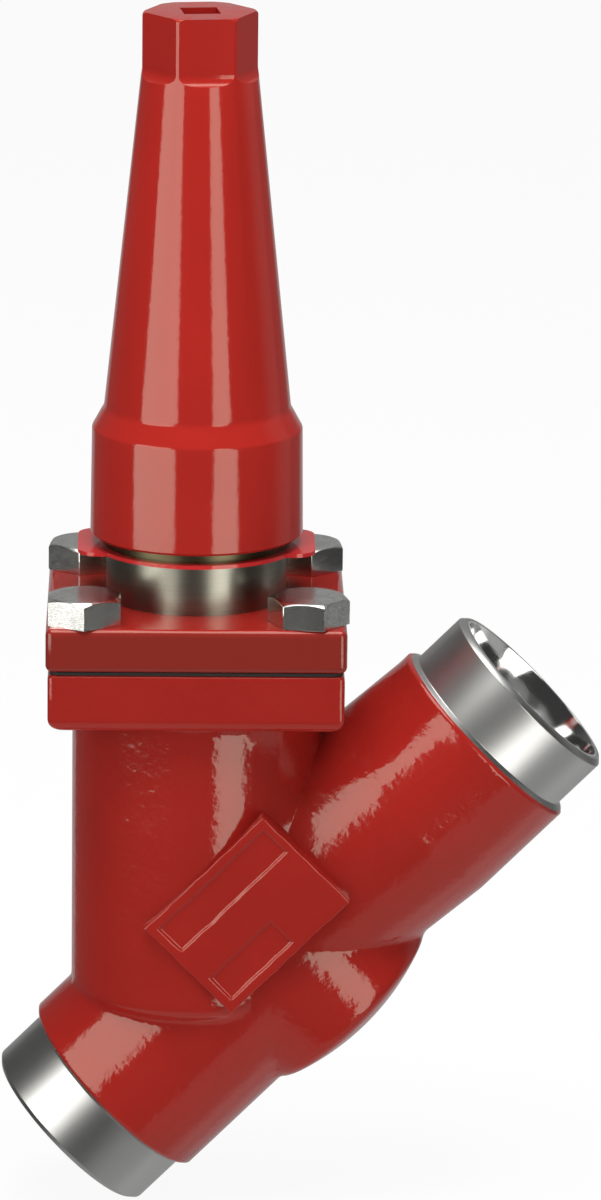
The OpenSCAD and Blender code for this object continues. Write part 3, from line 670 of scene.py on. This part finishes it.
def hex_bolt(turn):
    """Hexagon bolt, its head standing on z = 0."""
    height, corner_r = 6.4, 9.815
    head = bmesh.new()
    bmesh.ops.create_cone(head, cap_ends=True, segments=6, radius1=corner_r, radius2=corner_r,
                          depth=height)
    head = spun(moved(head, 0, 0, height / 2), turn + 30)
    blank = turned_shape([(0, -1), (10.8, -1), (10.8, 5.06), (8.2, height), (0, height)])
    head = eased(combined("INTERSECT", head, blank), 0.16, angle=12)
    shank = turned_shape([(0, -23.6), (4.2, -23.6), (5, -22.8), (5, 1), (0, 1)], steps=48)
    return joined(head, shank)


def bonnet_bolts():
    """The four bolts, each with its own turn."""
    bolts = [moved(hex_bolt(turn), x, y, BONNET_TOP) for turn, (x, y) in zip(BOLT_TURNS, BOLTS)]
    return piece("stainless_bolts", joined(*bolts), bolt_steel, "stainless_bolts", "bonnet_bolts",
                 smooth=25, flat=30)


# Heights of the cap's foot and top, and of the foot and top of its cone with their radii
CAP, CAP_TOP = 119.1, 244.5
CONE_FOOT, CONE_TOP, CONE_FOOT_R, CONE_TOP_R = 150.6, 231.2, 22.1, 13.65
# Height of the hexagon's foot, half its width over the flats and the radius at its foot
HEX_FOOT, HEX_HALF, HEX_FOOT_R = 228.7, 12, 2.6


def cap():
    """Sealing cap with a long cone whose top is cut to a hexagon, and a thread inside."""
    slope = math.atan((CONE_FOOT_R - CONE_TOP_R) / (CONE_TOP - CONE_FOOT))
    sweep, turn = math.radians(35), 37
    shoulder = arc(1.6, 25 - 1.6, 144.4, 0, sweep, 6)
    hollow = arc(3.5, CONE_FOOT_R + 3.5 * math.cos(slope), CONE_FOOT + 3.5 * math.sin(slope),
                 math.pi + sweep, math.pi + slope, 8)
    crown = arc(0.9, CONE_TOP_R - 0.9, CAP_TOP - 0.9, 0, math.pi / 2, 9)
    outside = ([(24.7, CAP), (25.3, CAP + 0.6)] + shoulder + hollow + [(CONE_TOP_R, CONE_TOP)]
               + crown)
    inside = [(0, CAP_TOP), (0, 227.5), (8.15, 227.5), (11.15, 224.5), (18.6, CONE_FOOT),
              (20.4, 143.9), (20.4, 139.9), (20.25, 139.1), (20.25, CAP)]
    shape = turned_shape(outside + inside, ring=True, steps=144)
    flats = []
    for i in range(6):
        foot = spun(rod(HEX_FOOT_R, -26, 26, 64), 90, "X")
        low = box((HEX_FOOT_R, -26, -HEX_FOOT_R), (26, 26, 2))
        high = box((0, -26, 0), (26, 26, 30))
        tool = combined("UNION", high, low, moved(foot, HEX_FOOT_R, 0, 0))
        flats.append(spun(moved(tool, HEX_HALF, 0, HEX_FOOT + HEX_FOOT_R), turn + 60 * i))
    socket = spun(box((-4.35, -4.35, CAP_TOP - 9), (4.35, 4.35, CAP_TOP + 5)), 7)
    shape = cut(shape, *flats, socket)
    edges = [e for e in sharp_edges(shape, 18) if min(v.co.z for v in e.verts) > 226
             and min(v.co.xy.length for v in e.verts) > 3]
    shape = eased(shape, 0.42, segments=3, edges=edges)
    thread = helix(20.3, -1.3, 2, CAP + 2.4, 138)
    return piece("sealing_cap", joined(shape, thread), lit_cap_red, "red_enamel_cap", "cap",
                 body="cap_body", smooth=14)


def tag():
    """Thin tag with two ears under the cap."""
    top = SHOULDER + 0.9
    disc = rod(24.5, SHOULDER, top, 128)
    ears = box((-28.2, -12.5, SHOULDER), (28.2, 12.5, top))
    upright = [e for e in ears.edges if abs(e.verts[0].co.z - e.verts[1].co.z) > 0.1]
    eased(ears, 5, segments=8, edges=upright)
    shape = cut(combined("UNION", disc, ears), rod(19.3, SHOULDER - 1, SHOULDER + 2))
    return piece("tag_plate", eased(shape, 0.22, angle=60), tag_red, "tag_enamel", "id_tag")


bonnet_flange()
bonnet_neck()
bonnet_bolts()
tag()
cap()


# Studio


# What matt surfaces get from all round
FILL = 0.25


def rise(angle, low, high):
    """Smooth step of an angle between two limits in degrees."""
    return angle.rise(math.radians(low), math.radians(high))


def studio_world():
    """White to the camera and behind the object. Reflections show it dark in front."""
    world = bpy.data.worlds.new("studio")
    world.use_nodes = True
    world.cycles.sampling_method = "NONE"
    bpy.context.scene.world = world
    nodes = Nodes(world.node_tree)
    direction = nodes.node("TexCoord", out="Generated")
    x, y, z = nodes.parts(direction)
    around = x.math("ARCTAN2", x, 0 - y)
    up = z.math("ARCSINE", z)
    behind = rise(around.size(), 146, 158)
    room = 0.05 + 0.25 * rise(around, 84, 108) - 0.15 * rise(around, 116, 128)
    room = room + 0.06 * (1 - rise(around, -140, -95))
    table = (1 - rise(up, -30, -20)) * rise(around, 22, 30) * 0.38
    table = table.most(0.35 * (1 - rise(up, -50, -38)))
    paper = 0.45 - 0.12 * rise(up, -8, 4)
    seen = (room + table) * (1 - behind) + behind * paper + 4.5 * rise(up, 64, 68)
    to_camera, glossy, through = nodes.rays("Camera", "Glossy", "Transmission")
    mirror = glossy.most(through)
    strength = to_camera + (1 - to_camera) * (mirror * seen + (1 - mirror) * FILL)
    background = world.node_tree.nodes["Background"]
    background.inputs["Color"].default_value = (1, 1, 1, 1)
    nodes.feed(background.inputs["Strength"], strength)


def softbox(name, facing, corners, level):
    """Bright panel a metre away that only reflections show. Its corners are (around, up) angles."""
    shape = bmesh.new()
    spots = []
    for around, up in corners:
        a = math.radians(around)
        reach = 1000 / math.cos(a - math.radians(facing))
        spots.append(shape.verts.new((30 + reach * math.sin(a), -20 - reach * math.cos(a),
                                      130 + reach * math.tan(math.radians(up)))))
    shape.faces.new(spots)
    bmesh.ops.scale(shape, verts=shape.verts, vec=(MM, MM, MM))
    mesh = bpy.data.meshes.new(name)
    shape.to_mesh(mesh)
    shape.free()
    made = bpy.data.objects.new(name, mesh)
    bpy.context.scene.collection.objects.link(made)
    glow = bpy.data.materials.new(name)
    glow.use_nodes = True
    glow.cycles.emission_sampling = "NONE"
    nodes = Nodes(glow.node_tree)
    glow.node_tree.nodes.clear()
    light = nodes.node("Emission", None, {"Color": (1, 0.99, 0.96, 1), "Strength": level})
    output = nodes.tree.nodes.new("ShaderNodeOutputMaterial")
    nodes.tree.links.new(light.socket, output.inputs["Surface"])
    mesh.materials.append(glow)
    for ray in ("camera", "diffuse", "transmission", "volume_scatter", "shadow"):
        setattr(made, "visible_" + ray, False)


def lamp(name, around, up, distance, size, level):
    """Soft box at an angle from the camera's side. It adds level to a surface that faces it."""
    a, e = math.radians(around), math.radians(up)
    away = Vector((math.sin(a) * math.cos(e), -math.cos(a) * math.cos(e), math.sin(e)))
    data = bpy.data.lights.new(name, "AREA")
    data.shape = "RECTANGLE"
    data.size, data.size_y = size
    data.energy = level * math.pi ** 2 * distance ** 2
    made = bpy.data.objects.new(name, data)
    bpy.context.scene.collection.objects.link(made)
    made.location = Vector((0.05, 0, 0.13)) + away * distance
    made.rotation_euler = away.to_track_quat("Z", "Y").to_euler()
    made.visible_glossy = False


def floor():
    """Pale floor under the feet, white to the camera apart from the object's shadow."""
    height = -0.0175
    shape = bmesh.new()
    bmesh.ops.create_grid(shape, x_segments=1, y_segments=1, size=6.0)
    bmesh.ops.translate(shape, verts=shape.verts, vec=(0, 0, height))
    mesh = bpy.data.meshes.new("floor")
    shape.to_mesh(mesh)
    shape.free()
    made = bpy.data.objects.new("floor", mesh)
    bpy.context.scene.collection.objects.link(made)
    paper = bpy.data.materials.new("floor_paper")
    paper.use_nodes = True
    nodes = Nodes(paper.node_tree)
    paper.node_tree.nodes.clear()
    to_camera, glossy, through = nodes.rays("Camera", "Glossy", "Transmission")
    seen = to_camera.most(glossy).most(through)
    matt = nodes.node("BsdfDiffuse", None, {"Color": (0.8, 0.8, 0.8, 1)})
    glow = nodes.node("Emission", None, {"Color": (1, 1, 1, 1), "Strength": 1.0})
    mixed = nodes.node("MixShader", None, {0: seen * 0.93, 1: matt, 2: glow})
    output = nodes.tree.nodes.new("ShaderNodeOutputMaterial")
    nodes.tree.links.new(mixed.socket, output.inputs["Surface"])
    mesh.materials.append(paper)
    made.visible_glossy = False


def camera():
    """The photograph's view: 14.5 degrees above the horizon, almost along +Y."""
    focal_px, distance = 7463.5, 1.78163
    to_eye = Vector((-0.018862, -0.967972, 0.250353)).normalized()
    aim = Vector((54.968, 0, 132.334)) * MM
    data = bpy.data.cameras.new("camera")
    data.lens = focal_px * data.sensor_width / PICTURE[1]
    made = bpy.data.objects.new("camera", data)
    bpy.context.scene.collection.objects.link(made)
    right = (-to_eye).cross(Vector((0, 0, 1))).normalized()
    up = right.cross(-to_eye)
    roll = Matrix.Rotation(math.radians(0.628), 3, to_eye)
    turn = Matrix((roll @ right, roll @ up, to_eye)).transposed()
    made.matrix_world = Matrix.Translation(aim + to_eye * distance) @ turn.to_4x4()
    bpy.context.scene.camera = made


studio_world()
softbox("left_panel", -47,
        [(-73, -12.2), (-24, -12.2), (-24.5, 3), (-28, 14), (-32, 33), (-66, 34), (-73, 30)], 3.9)
softbox("right_panel", 31,
        [(22.5, -24), (50, -24), (41, 4), (34, 30), (19, 30), (19, -5), (16.5, -11)], 3.9)
lamp("left_softbox", -45, 20, 1.1, (0.9, 0.8), 0.35)
lamp("right_softbox", 33, 15, 1.1, (0.35, 1.0), 0.19)
lamp("top_softbox", 0, 75, 1.2, (0.9, 0.9), 1.5)
floor()
camera()

bpy.context.scene.view_settings.view_transform = "Standard"
